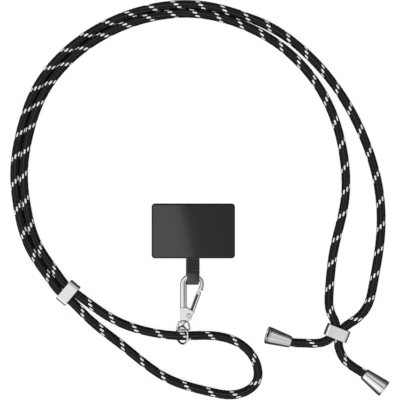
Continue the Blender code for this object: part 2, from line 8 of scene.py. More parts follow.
import bmesh
import bpy
import numpy as np
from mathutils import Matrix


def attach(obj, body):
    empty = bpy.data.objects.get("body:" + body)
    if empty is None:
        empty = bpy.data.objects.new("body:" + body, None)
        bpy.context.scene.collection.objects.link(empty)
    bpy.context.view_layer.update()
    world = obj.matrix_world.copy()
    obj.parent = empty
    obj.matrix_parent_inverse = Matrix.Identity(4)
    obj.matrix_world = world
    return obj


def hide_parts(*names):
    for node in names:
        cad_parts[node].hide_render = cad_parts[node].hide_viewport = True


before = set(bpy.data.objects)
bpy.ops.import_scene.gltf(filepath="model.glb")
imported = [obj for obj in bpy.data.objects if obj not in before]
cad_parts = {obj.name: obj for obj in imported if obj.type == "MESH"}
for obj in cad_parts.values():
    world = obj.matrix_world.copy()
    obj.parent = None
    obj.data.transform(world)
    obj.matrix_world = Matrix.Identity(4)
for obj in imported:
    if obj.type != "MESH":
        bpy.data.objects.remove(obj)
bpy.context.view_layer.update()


# Camera. The strap is looked at straight down, from high enough that its few millimetres of height hardly
# lean: a long lens over the middle of a square 26 cm wide.
VIEW_MIDDLE = (-0.01485, 0.06445)
VIEW_SIDE = 0.260
CAMERA_HEIGHT = 0.722
SENSOR_MM = 36.0

lens = bpy.data.cameras.new("straight_down")
lens.sensor_width = SENSOR_MM
lens.lens = SENSOR_MM * CAMERA_HEIGHT / VIEW_SIDE
lens.clip_start = 0.01
lens.clip_end = 20.0
camera = bpy.data.objects.new("straight_down", lens)
bpy.context.scene.collection.objects.link(camera)
camera.location = (*VIEW_MIDDLE, CAMERA_HEIGHT)
bpy.context.scene.camera = camera


# Cord. One round braid of soft black yarn, 5.6 mm thick and 1.44 m long. It starts in the left bell, makes the
# body loop and the small loop as two strands side by side, and ends in the right bell. Its wales are rows of
# long stitches, and each wale's stitches lie a step further along than its neighbour's.
CORD_RADIUS = 0.0028
BRAID_CREST = 0.0001
LANE_PITCH = 2 * CORD_RADIUS + 0.0005
STRAND_PITCH = 2 * (CORD_RADIUS + BRAID_CREST) - 0.00012
SLIDER_LENGTH = 0.0076
SLIDER_DEPTH = 0.0080
SLIDER_LEAD = 0.0008
SLIDER_RIGHT = ((0.0737, -0.0215), math.radians(-112.0))
SLIDER_LEFT = ((-0.1000, 0.0045), math.radians(-40.0))
CAP_LENGTH = 0.0160
CAP_MOUTH_RADIUS = 0.00575
CAP_NECK_RADIUS = 0.0039
CAP_SHOULDER = 0.0009
CAP_CUP_DEPTH = 0.0080
CAP_LEAD = 0.0008
CAP_LEFT = ((0.0436, -0.0273), math.radians(162.6))
CAP_RIGHT = ((0.0912, -0.0479), math.radians(-36.9))
CAP_TAPER = math.atan2(CAP_MOUTH_RADIUS - CAP_NECK_RADIUS, CAP_LENGTH - CAP_SHOULDER)
CAP_NECK_LIFT = CAP_NECK_RADIUS * math.cos(CAP_TAPER) - CAP_SHOULDER * math.sin(CAP_TAPER)
CORD_IN_CAP = CAP_LENGTH - CAP_CUP_DEPTH - 0.0003
RING_RADIUS = 0.0056
RING_WIRE = 0.0013
RING_LEAN = math.radians(50)
RING_LIFT = RING_RADIUS * math.sin(RING_LEAN) + RING_WIRE / 2

TWIN_RUN = [
    (-0.1105, 0.0162), (-0.1222, 0.0339), (-0.1297, 0.0583), (-0.1319, 0.0839), (-0.1282, 0.1081),
    (-0.1181, 0.1357), (-0.0990, 0.1591), (-0.0727, 0.1766), (-0.0422, 0.1865), (-0.0123, 0.1874),
    (0.0118, 0.1812),
]
RIGHT_OUTER = [
    (0.0280, 0.1778), (0.0534, 0.1600), (0.0750, 0.1350), (0.0914, 0.1044), (0.1010, 0.0709),
    (0.1019, 0.0397), (0.0973, 0.0098), (0.0932, -0.0047), (0.0847, -0.0138),
]
RIGHT_INNER = [
    (0.0264, 0.1713), (0.0485, 0.1544), (0.0673, 0.1285), (0.0778, 0.0956), (0.0787, 0.0625),
    (0.0721, 0.0332), (0.0689, 0.0059), (0.0701, -0.0092),
]
SMALL_LOOP_UPPER = [(-0.0877, -0.0016), (-0.0701, -0.0132), (-0.0487, -0.0207)]
SMALL_LOOP_AT_RING = (-0.0262, -0.0232)
SMALL_LOOP_LOWER = [
    (-0.0045, -0.0236), (0.0115, -0.0289), (0.0212, -0.0405), (0.0218, -0.0528), (0.0124, -0.0604),
    (-0.0103, -0.0593), (-0.0357, -0.0511), (-0.0643, -0.0303), (-0.0903, -0.0089),
]
LEFT_TAIL = [(0.0540, -0.0282), (0.0630, -0.0280)]
RIGHT_TAIL = [(0.0750, -0.0306), (0.0788, -0.0388)]

WALES = 8
SIDES_PER_WALE = 6
RING_SPACING = 0.00073
STITCH_LENGTH = 0.0032
STITCH_SHIFT = 0.0020
STITCHES_PER_TURN = 5
BRAID_RELIEF = 0.00024


def smooth_curve(points, counts):
    """Natural cubic curve through points, spaced by chord length. Leg i gives counts[i] places, and the end one more."""
    points = np.asarray(points, float)
    legs = np.linalg.norm(np.diff(points, axis=0), axis=1)
    size = len(points)
    lhs = np.zeros((size, size))
    rhs = np.zeros_like(points)
    lhs[0, 0] = lhs[-1, -1] = 1
    slopes = np.diff(points, axis=0) / legs[:, None]
    for i in range(1, size - 1):
        lhs[i, i - 1 : i + 2] = legs[i - 1], 2 * (legs[i - 1] + legs[i]), legs[i]
        rhs[i] = 6 * (slopes[i] - slopes[i - 1])
    bend = np.linalg.solve(lhs, rhs)
    made = []
    for i, leg in enumerate(legs):
        after = np.arange(counts[i])[:, None] / counts[i] * leg
        before = leg - after
        made.append(
            (bend[i] * before**3 + bend[i + 1] * after**3) / (6 * leg)
            + (points[i] / leg - bend[i] * leg / 6) * before
            + (points[i + 1] / leg - bend[i + 1] * leg / 6) * after
        )
    return np.vstack([*made, points[-1:]])


def side_strand(middle, side):
    """A strand half a pitch to one side of a middle line: 1 for its left, -1 for its right."""
    fine = 8
    drawn = smooth_curve(middle, [fine] * (len(middle) - 1))
    along = np.gradient(drawn, axis=0)[::fine]
    along = along / np.linalg.norm(along, axis=1)[:, None]
    across = np.stack([-along[:, 1], along[:, 0]], 1)
    return np.asarray(middle) + across * side * STRAND_PITCH / 2


def lane(slider, side):
    """Where one strand starts and ends its straight way through a slider, in the order of the slider's heading."""
    place, heading = slider
    along = np.array([math.cos(heading), math.sin(heading)])
    across = np.array([-along[1], along[0]])
    middle = np.array(place) + across * side * STRAND_PITCH / 2
    reach = SLIDER_LENGTH / 2 + SLIDER_LEAD
    return [middle - along * reach, middle + along * reach]


def cap_point(cap, reach):
    """A point on a bell's axis in plan, that far from its neck towards its mouth."""
    (x, y), heading = cap
    return x + reach * math.cos(heading), y + reach * math.sin(heading)


def cord_line(leg_step):
    """The cord's middle line: a cubic in plan through the route, and an eased step in height between its points."""
    route = []
    held = SLIDER_DEPTH / 2
    inner = CORD_IN_CAP * math.cos(CAP_TAPER)
    inner_lift = CAP_NECK_LIFT + CORD_IN_CAP * math.sin(CAP_TAPER)
    for points, height in (
        ([cap_point(CAP_LEFT, inner)], inner_lift),
        ([cap_point(CAP_LEFT, -CAP_LEAD)], CAP_NECK_LIFT),
        (LEFT_TAIL, CORD_RADIUS),
        (lane(SLIDER_RIGHT, -1)[::-1], held),
        (RIGHT_INNER[::-1], CORD_RADIUS),
        (side_strand(TWIN_RUN, -1)[::-1], CORD_RADIUS),
        (lane(SLIDER_LEFT, 1), held),
        (SMALL_LOOP_UPPER, CORD_RADIUS),
        ([SMALL_LOOP_AT_RING], RING_LIFT),
        (SMALL_LOOP_LOWER, CORD_RADIUS),
        (lane(SLIDER_LEFT, -1)[::-1], held),
        (side_strand(TWIN_RUN, 1), CORD_RADIUS),
        (RIGHT_OUTER, CORD_RADIUS),
        (lane(SLIDER_RIGHT, 1), held),
        (RIGHT_TAIL, CORD_RADIUS),
        ([cap_point(CAP_RIGHT, -CAP_LEAD)], CAP_NECK_LIFT),
        ([cap_point(CAP_RIGHT, inner)], inner_lift),
    ):
        route.extend((float(x), float(y), height) for x, y in points)
    route = np.array(route)
    flat = np.linalg.norm(np.diff(route[:, :2], axis=0), axis=1)
    counts = [max(1, round(leg / leg_step)) for leg in flat]
    plan = smooth_curve(route[:, :2], counts)
    share = np.concatenate([np.arange(n) / n for n in counts] + [[0.0]])
    leg = np.repeat(np.arange(len(counts) + 1), counts + [1])
    low = route[leg, 2]
    high = route[np.minimum(leg + 1, len(route) - 1), 2]
    return np.column_stack([plan, low + (high - low) * share * share * (3 - 2 * share) + BRAID_CREST])


def unit(vectors):
    """Each vector divided by its own length."""
    return vectors / np.linalg.norm(vectors, axis=-1, keepdims=True)


drawn_line = cord_line(0.0003)
run = np.concatenate([[0], np.cumsum(np.linalg.norm(np.diff(drawn_line, axis=0), axis=1))])
CORD_LENGTH = float(run[-1])


def cord_frame(along):
    """Middle, left and top directions of the cord at each distance along it. Left is up times forward."""
    step = 0.0008
    middle, before, after = (
        np.stack([np.interp(np.clip(along + ahead, 0, CORD_LENGTH), run, drawn_line[:, k]) for k in range(3)], -1)
        for ahead in (0, -step, step)
    )
    forward = unit(after - before)
    left = unit(np.cross((0, 0, 1.0), forward))
    return middle, left, np.cross(forward, left)


TWIST = np.array([
    (0.000, -0.11), (0.066, -0.08), (0.138, -0.02), (0.174, 0.13), (0.210, 0.24), (0.246, 0.36), (0.300, 0.58),
    (0.336, 0.69), (0.372, 0.71), (0.408, 0.78), (0.444, 0.83), (0.480, 0.80), (0.516, 0.75), (0.552, 0.74),
    (0.588, 0.64), (0.624, 0.60), (0.660, 0.52), (0.696, 0.45), (0.732, 0.47), (0.768, 0.41), (0.804, 0.36),
    (0.840, 0.23), (0.894, 0.23), (0.948, 0.07), (0.984, 0.18), (1.038, 0.19), (1.056, 0.17), (1.092, 0.31),
    (1.128, 0.33), (1.164, 0.45), (1.200, 0.57), (1.236, 0.68), (1.272, 0.79), (1.308, 0.73), (1.380, 0.73),
    (1.440, 0.62),
])


def twisted(turn, along):
    """A place round the braid, plus the part of a turn that the cord has twisted by up to that distance."""
    return turn + np.interp(along, TWIST[:, 0], TWIST[:, 1])


def cord_surface(turn, along, lift):
    """Points on the cord: middle + (radius + lift) (left cos a + top sin a), with a a full circle per turn."""
    middle, left, top = cord_frame(along)
    angle = (2 * math.pi * twisted(turn, along))[..., None]
    return middle + (CORD_RADIUS + BRAID_CREST + lift)[..., None] * (left * np.cos(angle) + top * np.sin(angle))


def braid(turn, along):
    """How raised the braid is, 0 in its grooves to 1 on its crests, and which stitches are the white ones.

    Across a wale a stitch is a round hump, root of 1 - across squared, and along it dips a little near its ends,
    as end to the sixth. Between two wales runs a lower rib. Every fifth stitch of a wale is white.
    """
    wale = turn * WALES
    across = 2 * np.abs(wale % 1 - 0.5)
    step = (along - np.floor(wale) * STITCH_SHIFT) / STITCH_LENGTH
    end = 2 * np.abs(step % 1 - 0.5)
    hump = np.sqrt(np.clip(1 - (across / 0.78) ** 2, 0, 1)) * (1 - 0.4 * end**6)
    rib = 0.42 * np.clip(1 - ((across - 1) / 0.30) ** 2, 0, 1)
    white = (np.floor(step) % STITCHES_PER_TURN == 0) & (across < 0.78)
    return np.maximum(hump, rib), white


def loft(name, loops, wrapped=False, uv=None):
    """Mesh through a stack of closed loops: loop i's point j joins loop i + 1's point j, counted round.

    The last loop joins the first if wrapped, or else one face closes each end. uv gives a place on the flat
    pattern for each (i, j), with one column more than there are points, so that the seam closes.
    """
    loops = np.asarray(loops, float)
    rows, around = loops.shape[:2]
    i, j = np.meshgrid(np.arange(rows if wrapped else rows - 1), np.arange(around), indexing="ij")
    after, beside = (i + 1) % rows, (j + 1) % around
    quads = np.stack([i * around + j, i * around + beside, after * around + beside, after * around + j], -1)
    faces = quads.reshape(-1, 4).tolist()
    if not wrapped:
        faces += [list(range(around))[::-1], list(range((rows - 1) * around, rows * around))]
    mesh = bpy.data.meshes.new(name)
    mesh.from_pydata(loops.reshape(-1, 3).tolist(), [], faces)
    if uv is not None:
        corners = np.stack([uv[i, j], uv[i, j + 1], uv[i + 1, j + 1], uv[i + 1, j]], 2).reshape(-1, 2)
        ends = [uv[0, :around][::-1], uv[-1, :around]]
        layer = mesh.uv_layers.new(name="pattern")
        layer.uv.foreach_set("vector", np.concatenate([corners, *ends]).astype(np.float32).ravel())
    return mesh


def point_out(mesh):
    """Turns every face of a closed mesh outwards."""
    tidy = bmesh.new()
    tidy.from_mesh(mesh)
    bmesh.ops.recalc_face_normals(tidy, faces=tidy.faces)
    tidy.to_mesh(mesh)
    tidy.free()


def show(name, mesh, materials, body, crease=35):
    """Puts a finished mesh in the scene, smooth-shaded up to its creases, riding on a body. A mesh whose faces
    have several finishes gets a list of materials."""
    piece = bpy.data.objects.new(name, mesh)
    bpy.context.scene.collection.objects.link(piece)
    materials = materials if isinstance(materials, list) else [materials]
    while len(mesh.materials) < len(materials):
        mesh.materials.append(None)
    for i, material in enumerate(materials):
        mesh.materials[i] = material
    mesh.shade_smooth()
    mesh.set_sharp_from_angle(angle=math.radians(crease))
    if crease < 90:
        even = piece.modifiers.new("even_shading", "WEIGHTED_NORMAL")
        even.keep_sharp = True
    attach(piece, body)
    return piece


class Nodes:
    """A short hand for a material's node tree: made nodes are linked by socket name."""

    def __init__(self, name):
        self.material = bpy.data.materials.new(name)
        self.material.use_nodes = True
        self.tree = self.material.node_tree
        self.shader = self.tree.nodes["Principled BSDF"]

    def set(self, **values):
        """Constants on the shader's own sockets, named with _ for a space."""
        for key, value in values.items():
            self.shader.inputs[key.replace("_", " ")].default_value = value

    def node(self, kind, inputs=(), **settings):
        """A node of this kind. An input is a value or another node's output."""
        made = self.tree.nodes.new(kind)
        for key, value in settings.items():
            setattr(made, key, value)
        for key, value in dict(inputs).items():
            if isinstance(value, bpy.types.NodeSocket):
                self.tree.links.new(value, made.inputs[key])
            else:
                made.inputs[key].default_value = value
        return made

    def feed(self, socket, output):
        self.tree.links.new(output, self.shader.inputs[socket])

    def scaled(self, place, factors):
        """Coordinates times a factor for each axis, which stretches a pattern."""
        return self.node("ShaderNodeVectorMath", {0: place, 1: factors}, operation="MULTIPLY").outputs[0]

    def noise(self, place, scale, detail=2.0, roughness=0.5):
        inputs = {"Vector": place, "Scale": scale, "Detail": detail, "Roughness": roughness}
        return self.node("ShaderNodeTexNoise", inputs).outputs[0]

    def ramp(self, value, low, high, to_low, to_high):
        inputs = {0: value, 1: low, 2: high, 3: to_low, 4: to_high}
        return self.node("ShaderNodeMapRange", inputs).outputs[0]

    def mix(self, share, first, second):
        made = self.node("ShaderNodeMix", {0: share, 6: first, 7: second}, data_type="RGBA")
        return made.outputs[2]

    def bump(self, height, distance, strength=1.0, normal=None):
        inputs = {"Height": height, "Distance": distance, "Strength": strength}
        if normal is not None:
            inputs["Normal"] = normal
        return self.node("ShaderNodeBump", inputs).outputs[0]


def black_yarn():
    """Matt black yarn: fibres along the cord, with painted light on the crests on top and painted shade, nearly
    black, in the grooves.
    """
    made = Nodes("black_yarn")
    place = made.node("ShaderNodeUVMap", uv_map="pattern").outputs[0]
    painted_crest_light = made.node("ShaderNodeAttribute", attribute_name="painted_crest_light").outputs["Fac"]
    fibres = made.noise(made.scaled(place, (5200, 620, 1)), 1.0, 3.0)
    patches = made.noise(made.scaled(place, (90, 60, 1)), 1.0, 2.0)
    lit = made.mix(patches, (0.0200, 0.0155, 0.0215, 1), (0.0420, 0.0335, 0.0440, 1))
    dark = (0.0006, 0.0005, 0.0009, 1)
    # Painted light and shade: the crest value mixes from painted near-black shade in the grooves to the lit colour
    # on the crests.
    made.feed("Base Color", made.mix(made.ramp(painted_crest_light, 0.25, 1.0, 0.0, 1.0), dark, lit))
    made.feed("Roughness", made.ramp(fibres, 0.2, 0.8, 0.48, 0.72))
    made.feed("Normal", made.bump(fibres, 0.00008, 0.8))
    made.set(Specular_IOR_Level=0.12)
    return made.material


rows = round(CORD_LENGTH / RING_SPACING) + 1
sides = WALES * SIDES_PER_WALE
along, turn = np.meshgrid(np.linspace(0, CORD_LENGTH, rows), np.arange(sides) / sides, indexing="ij")
raised, white = braid(turn, along)
lift = BRAID_RELIEF * (np.where(white, 0.4, raised) - 1)
flat_along, flat_turn = np.meshgrid(np.linspace(0, CORD_LENGTH, rows), np.arange(sides + 1) / sides, indexing="ij")
pattern = np.stack([flat_turn * 2 * math.pi * CORD_RADIUS, flat_along], -1)
cord_mesh = loft("cord_braid", cord_surface(turn, along, lift), uv=pattern)
painted_crest_light = cord_mesh.attributes.new("painted_crest_light", "FLOAT", "POINT")
# Painted light: the crests are painted lighter on the cord's top and darker down its sides and underneath, as if
# lit from above, and the grooves are painted dark as shade.
painted_top_light = 0.30 + 0.70 * np.clip(np.sin(2 * math.pi * twisted(turn, along)), 0, 1)
painted_crest_light.data.foreach_set("value", (raised * painted_top_light).astype(np.float32).ravel())
cord = show("cord_braid", cord_mesh, black_yarn(), "strap", crease=180)
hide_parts("cord")


# White stitches. One carrier of white yarn winds round the black braid, a full turn every 16 mm, and shows as a
# slanting row of short dashes, each a stitch as long as the black ones and a little proud of them.
DASH_LENGTH = 0.0031
DASH_WIDTH = 0.00145
DASH_HEIGHT = 0.0006
DASH_TOP = 0.00004
DASH_SLANT = 0.35
DASH_CLEAR = 0.0085
DASH_STATIONS = np.array([-1.0, -0.86, -0.45, 0.45, 0.86, 1.0])
DASH_FULLNESS = np.array([0.45, 0.88, 1.0, 1.0, 0.88, 0.45])
DASH_SIDES = 8


def dashes():
    """All the dashes as one mesh. A dash is a stack of flat ovals: across = width cos b, up = height sin b.

    Its fullness narrows both ends, and its ends slant by DASH_SLANT of their distance across.
    """
    wales = np.arange(WALES)
    turns = np.arange(int(CORD_LENGTH / STITCH_LENGTH / STITCHES_PER_TURN) + 1)
    wale, number = (grid.ravel() for grid in np.meshgrid(wales, turns))
    middle = wale * STITCH_SHIFT + STITCH_LENGTH * (STITCHES_PER_TURN * number + 0.5)
    kept = (middle > DASH_CLEAR) & (middle < CORD_LENGTH - DASH_CLEAR)
    wale, middle = wale[kept], middle[kept]
    b = np.arange(DASH_SIDES) * 2 * math.pi / DASH_SIDES
    across = DASH_WIDTH / 2 * DASH_FULLNESS[:, None] * np.cos(b)
    up = DASH_HEIGHT / 2 * (DASH_FULLNESS[:, None] * np.sin(b) - 1) + DASH_TOP
    reach = DASH_STATIONS[:, None] * DASH_LENGTH / 2 + across * DASH_SLANT
    turn = (wale[:, None, None] + 0.5) / WALES + across / (2 * math.pi * CORD_RADIUS)
    points = cord_surface(turn, middle[:, None, None] + reach, np.broadcast_to(up, turn.shape))
    stations, each = len(DASH_STATIONS), len(DASH_STATIONS) * DASH_SIDES
    i, j = np.meshgrid(np.arange(stations - 1), np.arange(DASH_SIDES), indexing="ij")
    beside = (j + 1) % DASH_SIDES
    here, there = i * DASH_SIDES, (i + 1) * DASH_SIDES
    quads = np.stack([here + j, there + j, there + beside, here + beside], -1).reshape(-1, 4)
    start = np.arange(len(middle))[:, None, None] * each
    ends = np.stack([np.arange(DASH_SIDES), np.arange(each - 1, each - 1 - DASH_SIDES, -1)])
    faces = (start + quads).reshape(-1, 4).tolist() + (start + ends).reshape(-1, DASH_SIDES).tolist()
    mesh = bpy.data.meshes.new("white_stitches")
    mesh.from_pydata(points.reshape(-1, 3).tolist(), [], faces)
    return mesh


def white_yarn():
    """Clean white yarn with fine fibres."""
    made = Nodes("white_yarn")
    place = made.node("ShaderNodeTexCoord").outputs["Object"]
    fibres = made.noise(place, 3200.0, 3.0)
    made.feed("Base Color", made.mix(fibres, (0.80, 0.80, 0.83, 1), (0.95, 0.95, 0.96, 1)))
    made.feed("Normal", made.bump(fibres, 0.00006, 0.6))
    made.set(Roughness=0.75, Sheen_Weight=0.2)
    return made.material


dash_mesh = dashes()
point_out(dash_mesh)
stitches = show("white_stitches", dash_mesh, white_yarn(), "strap", crease=180)


# Sliders. Two lengths of rounded rectangular metal tube, satin plated, each pushed over two strands of the cord.
# Their mouths are rounded over, and the plating is brushed round the tube.
SLIDER_WALL = 0.0009
SLIDER_WIDTH = LANE_PITCH + 2 * CORD_RADIUS + 2 * 0.0010 + 2 * SLIDER_WALL
SLIDER_CORNER = 0.0026
SLIDER_EDGE = 0.0003


def rounded_box(width, height, corner, steps):
    """Outline of a rectangle with round corners: four quarter circles of steps + 1 points, counter-clockwise."""
    turn = (np.arange(4)[:, None] + np.arange(steps + 1) / steps) * math.pi / 2
    sign = np.array([(1, 1), (-1, 1), (-1, -1), (1, -1)])
    middle = sign * (width / 2 - corner, height / 2 - corner)
    return (middle[:, None] + corner * np.stack([np.cos(turn), np.sin(turn)], -1)).reshape(-1, 2)


def slider_mesh(name, slider):
    """The tube's wall as a rounded rectangle of (inset, along), swept round the tube's outline."""
    wall = rounded_box(SLIDER_WALL, SLIDER_LENGTH, SLIDER_EDGE, 4) + (SLIDER_WALL / 2, 0)
    loops = np.stack([
        np.column_stack([
            np.full(4 * 13, along),
            rounded_box(SLIDER_WIDTH - 2 * inset, SLIDER_DEPTH - 2 * inset, SLIDER_CORNER - inset, 12),
        ])
        for inset, along in wall
    ])
    (x, y), heading = slider
    forward = np.array([math.cos(heading), math.sin(heading), 0])
    across = np.array([-forward[1], forward[0], 0])
    placed = loops[..., :1] * forward + loops[..., 1:2] * across + loops[..., 2:] * (0, 0, 1.0)
    mesh = loft(name, placed + (x, y, SLIDER_DEPTH / 2), wrapped=True)
    point_out(mesh)
    return mesh


def plated_metal(name, colour, polish, spread, grain, marks, heading=0.0, stretch=(1, 1, 1)):
    """Plated metal: roughness that wanders between polish and polish + spread, and faint marks of its finish."""
    made = Nodes(name)
    place = made.node("ShaderNodeTexCoord").outputs["Object"]
    turned = made.node("ShaderNodeMapping", {"Vector": place, "Rotation": (0, 0, -heading)}).outputs[0]
    brushed = made.noise(made.scaled(turned, stretch), grain, 3.0, 0.6)
    cloudy = made.noise(place, 160.0, 2.0)
    made.feed("Base Color", made.mix(cloudy, colour, tuple(0.94 * c for c in colour[:3]) + (1,)))
    made.feed("Roughness", made.ramp(brushed, 0.25, 0.75, polish, polish + spread))
    made.feed("Normal", made.bump(brushed, marks, 0.5))
    made.set(Metallic=1.0, Specular_Tint=(0.25, 0.25, 0.26, 1))
    return made.material


for side, slider in (("right", SLIDER_RIGHT), ("left", SLIDER_LEFT)):
    satin = plated_metal(
        "satin_" + side, (0.66, 0.66, 0.67, 1), 0.22, 0.05, 2600.0, 0.0000006, slider[1], (0.08, 1, 1)
    )
    tube = show("slider_tube_" + side, slider_mesh("slider_tube_" + side, slider), satin, "strap")
    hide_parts("slider_" + side)


# Bell ends. Turned metal bells, polished and plated. The cord goes in through the narrow neck and is held
# there, and the wide mouth is an open cup with a rolled rim.
CAP_BORE = CORD_RADIUS + 0.0003
CAP_WALL = 0.0010
CAP_RIM = 0.0003
CAP_SIDES = 96
CAP_GROOVE = 0.00030
CAP_BEAD = 0.0011


def arc(centre, radius, first, last, steps):
    """Points of a circle's arc between two angles in degrees, both ends included."""
    turn = np.radians(np.linspace(first, last, steps + 1))
    return [(centre[0] + radius * math.cos(a), centre[1] + radius * math.sin(a)) for a in turn]


def bell_mesh(name, cap):
    """The bell's wall section, (along, radius), turned round its axis, and laid over on its side by its taper."""
    def outer(along):
        return CAP_NECK_RADIUS + (along - CAP_SHOULDER) * math.tan(CAP_TAPER)

    cup = CAP_LENGTH - CAP_CUP_DEPTH
    round_neck = CAP_SHOULDER * 0.8
    section = [(0.0001, CAP_BORE), (0, CAP_BORE + 0.0001)]
    section += arc((round_neck, outer(round_neck) - round_neck), round_neck, 180, 97, 6)
    groove = CAP_LENGTH - CAP_BEAD
    section += [(along, outer(along)) for along in np.linspace(2 * CAP_SHOULDER, groove - 2 * CAP_GROOVE, 8)]
    section += [
        (groove + way * CAP_GROOVE, outer(groove) - CAP_GROOVE * depth)
        for way, depth in ((-1.0, 0.2), (-0.5, 0.85), (0.0, 1.0), (0.5, 0.85), (1.0, 0.2))
    ]
    section += [(groove + 2 * CAP_GROOVE, outer(groove + 2 * CAP_GROOVE))]
    rim = outer(CAP_LENGTH - CAP_RIM) - CAP_RIM
    section += arc((CAP_LENGTH - CAP_RIM, rim), CAP_RIM, 83, 0, 5)
    section += arc((CAP_LENGTH - CAP_RIM, rim - CAP_WALL + 2 * CAP_RIM), CAP_RIM, 0, -83, 5)
    section += [(along, outer(along) - CAP_WALL) for along in np.linspace(CAP_LENGTH - 4 * CAP_RIM, cup + 0.001, 5)]
    section += arc((cup + 0.0008, outer(cup) - CAP_WALL - 0.0008), 0.0008, 90, 180, 4)
    section += [(cup, CAP_BORE)]
    turn = np.arange(CAP_SIDES) * 2 * math.pi / CAP_SIDES
    section = np.array(section)
    (x, y), heading = cap
    forward = np.array([math.cos(heading), math.sin(heading), 0])
    across = np.array([-forward[1], forward[0], 0])
    axis = forward * math.cos(CAP_TAPER) + np.array([0, 0, math.sin(CAP_TAPER)])
    top = np.cross(axis, across)
    circle = across * np.cos(turn)[:, None] + top * np.sin(turn)[:, None]
    loops = section[:, :1, None] * axis + section[:, 1:, None] * circle
    mesh = loft(name, loops + (x, y, CAP_NECK_LIFT), wrapped=True)
    point_out(mesh)
    return mesh


polished = plated_metal("polished_plate", (0.64, 0.64, 0.63, 1), 0.035, 0.03, 900.0, 0.0000005)
for side, cap in (("left", CAP_LEFT), ("right", CAP_RIGHT)):
    bell = show("bell_" + side, bell_mesh("bell_" + side, cap), polished, "strap")
    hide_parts("end_cap_" + side)


# Cord ring. A ring of round wire, closed and polished, that the cord runs through. It hangs in the swivel eye
# and leans with its right side up.
HOOK_LIFT = 0.0033
SPINE_X = -0.0256
EYE_COLLAR = 0.0016
EYE_TOP_Y = -0.0133 - 0.0003 - EYE_COLLAR / 2
EYE_FOOT_Y = EYE_TOP_Y - 0.0051
RING_PLACE = (SPINE_X - 0.0007, EYE_FOOT_Y - 0.0032, RING_LIFT)

turn, around = np.meshgrid(np.linspace(0, 2 * math.pi, 96, endpoint=False),
                           np.linspace(0, 2 * math.pi, 20, endpoint=False), indexing="ij")
reach = RING_RADIUS + RING_WIRE / 2 * np.cos(around)
sideways, upright = reach * np.cos(turn), RING_WIRE / 2 * np.sin(around)
ring_points = np.stack([
    sideways * math.cos(RING_LEAN) - upright * math.sin(RING_LEAN),
    reach * np.sin(turn),
    sideways * math.sin(RING_LEAN) + upright * math.cos(RING_LEAN),
], -1) + RING_PLACE
ring_mesh = loft("ring_wire", ring_points, wrapped=True)
point_out(ring_mesh)
ring = show("ring_wire", ring_mesh, polished, "strap")
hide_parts("cord_ring")


# Swivel eye. A stirrup of bent wire, wider at its foot, with a turned collar at its top that the hook's post
# goes through. Cast in one and plated.
EYE_WIRE = 0.0013
EYE_TOP_WIDTH = 0.0062
EYE_FOOT_WIDTH = 0.0084
EYE_CORNER = 0.0013
EYE_COLLAR_RADIUS = 0.0018
POST_RADIUS = 0.00065


def fuse(mesh, other, operation):
    """Joins another closed mesh to this one, or cuts it out, and gives back the new mesh."""
    pair = [bpy.data.objects.new(part.name + "_part", part) for part in (mesh, other)]
    for item in pair:
        bpy.context.scene.collection.objects.link(item)
    step = pair[0].modifiers.new("fuse", "BOOLEAN")
    step.operation = operation
    step.object = pair[1]
    step.material_mode = "TRANSFER"
    made = bpy.data.meshes.new_from_object(pair[0].evaluated_get(bpy.context.evaluated_depsgraph_get()))
    made.name = mesh.name
    for item in pair:
        bpy.data.objects.remove(item, do_unlink=True)
    return made


def turned(name, axis, profile, centre, sides=40):
    """A turned body: each (along, radius) of the profile is a circle round the axis, y or z, through centre."""
    turn = np.arange(sides) * 2 * math.pi / sides
    profile = np.asarray(profile, float)
    round_x, round_y = (profile[:, 1:] * np.array(f(turn)) for f in (np.cos, np.sin))
    flat = np.broadcast_to(profile[:, :1], round_x.shape)
    columns = (round_x, flat, round_y) if axis == "y" else (round_x, round_y, flat)
    mesh = loft(name, np.stack(columns, -1) + centre)
    point_out(mesh)
    return mesh


foot, top = EYE_FOOT_WIDTH / 2, EYE_TOP_WIDTH / 2
corners = np.array([(foot, EYE_FOOT_Y), (top, EYE_TOP_Y), (-top, EYE_TOP_Y), (-foot, EYE_FOOT_Y)])
before, after = (EYE_CORNER * unit(np.roll(corners, way, 0) - corners) for way in (1, -1))
share = np.linspace(0, 1, 9)[None, :, None]
bent = corners[:, None] + before[:, None] * (1 - share) ** 2 + after[:, None] * share**2
stirrup = bent.reshape(-1, 2)
out = unit(np.roll(stirrup, -1, 0) - np.roll(stirrup, 1, 0)) @ np.array([[0, -1], [1, 0]])
angle = np.linspace(0, 2 * math.pi, 20, endpoint=False)
wire = np.concatenate([
    stirrup[:, None] + out[:, None] * EYE_WIRE / 2 * np.cos(angle)[None, :, None],
    np.broadcast_to(EYE_WIRE / 2 * np.sin(angle)[None, :, None], (len(stirrup), 20, 1)),
], -1)
eye_centre = (SPINE_X, 0, HOOK_LIFT)
eye_mesh = loft("eye_wire", wire + eye_centre, wrapped=True)
point_out(eye_mesh)
low, high = EYE_TOP_Y - EYE_COLLAR / 2, EYE_TOP_Y + EYE_COLLAR / 2
collar = arc((low + 0.0004, EYE_COLLAR_RADIUS - 0.0004), 0.0004, 180, 90, 5)
collar += arc((high - 0.0004, EYE_COLLAR_RADIUS - 0.0004), 0.0004, 90, 0, 5)
eye_mesh = fuse(eye_mesh, turned("eye_collar", "y", collar, eye_centre), "UNION")
bore = [(low - EYE_WIRE, POST_RADIUS + 0.0003), (high + EYE_WIRE, POST_RADIUS + 0.0003)]
eye_mesh = fuse(eye_mesh, turned("eye_bore", "y", bore, eye_centre), "DIFFERENCE")
eye = show("eye_wire", eye_mesh, polished, "strap")
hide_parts("swivel_eye")


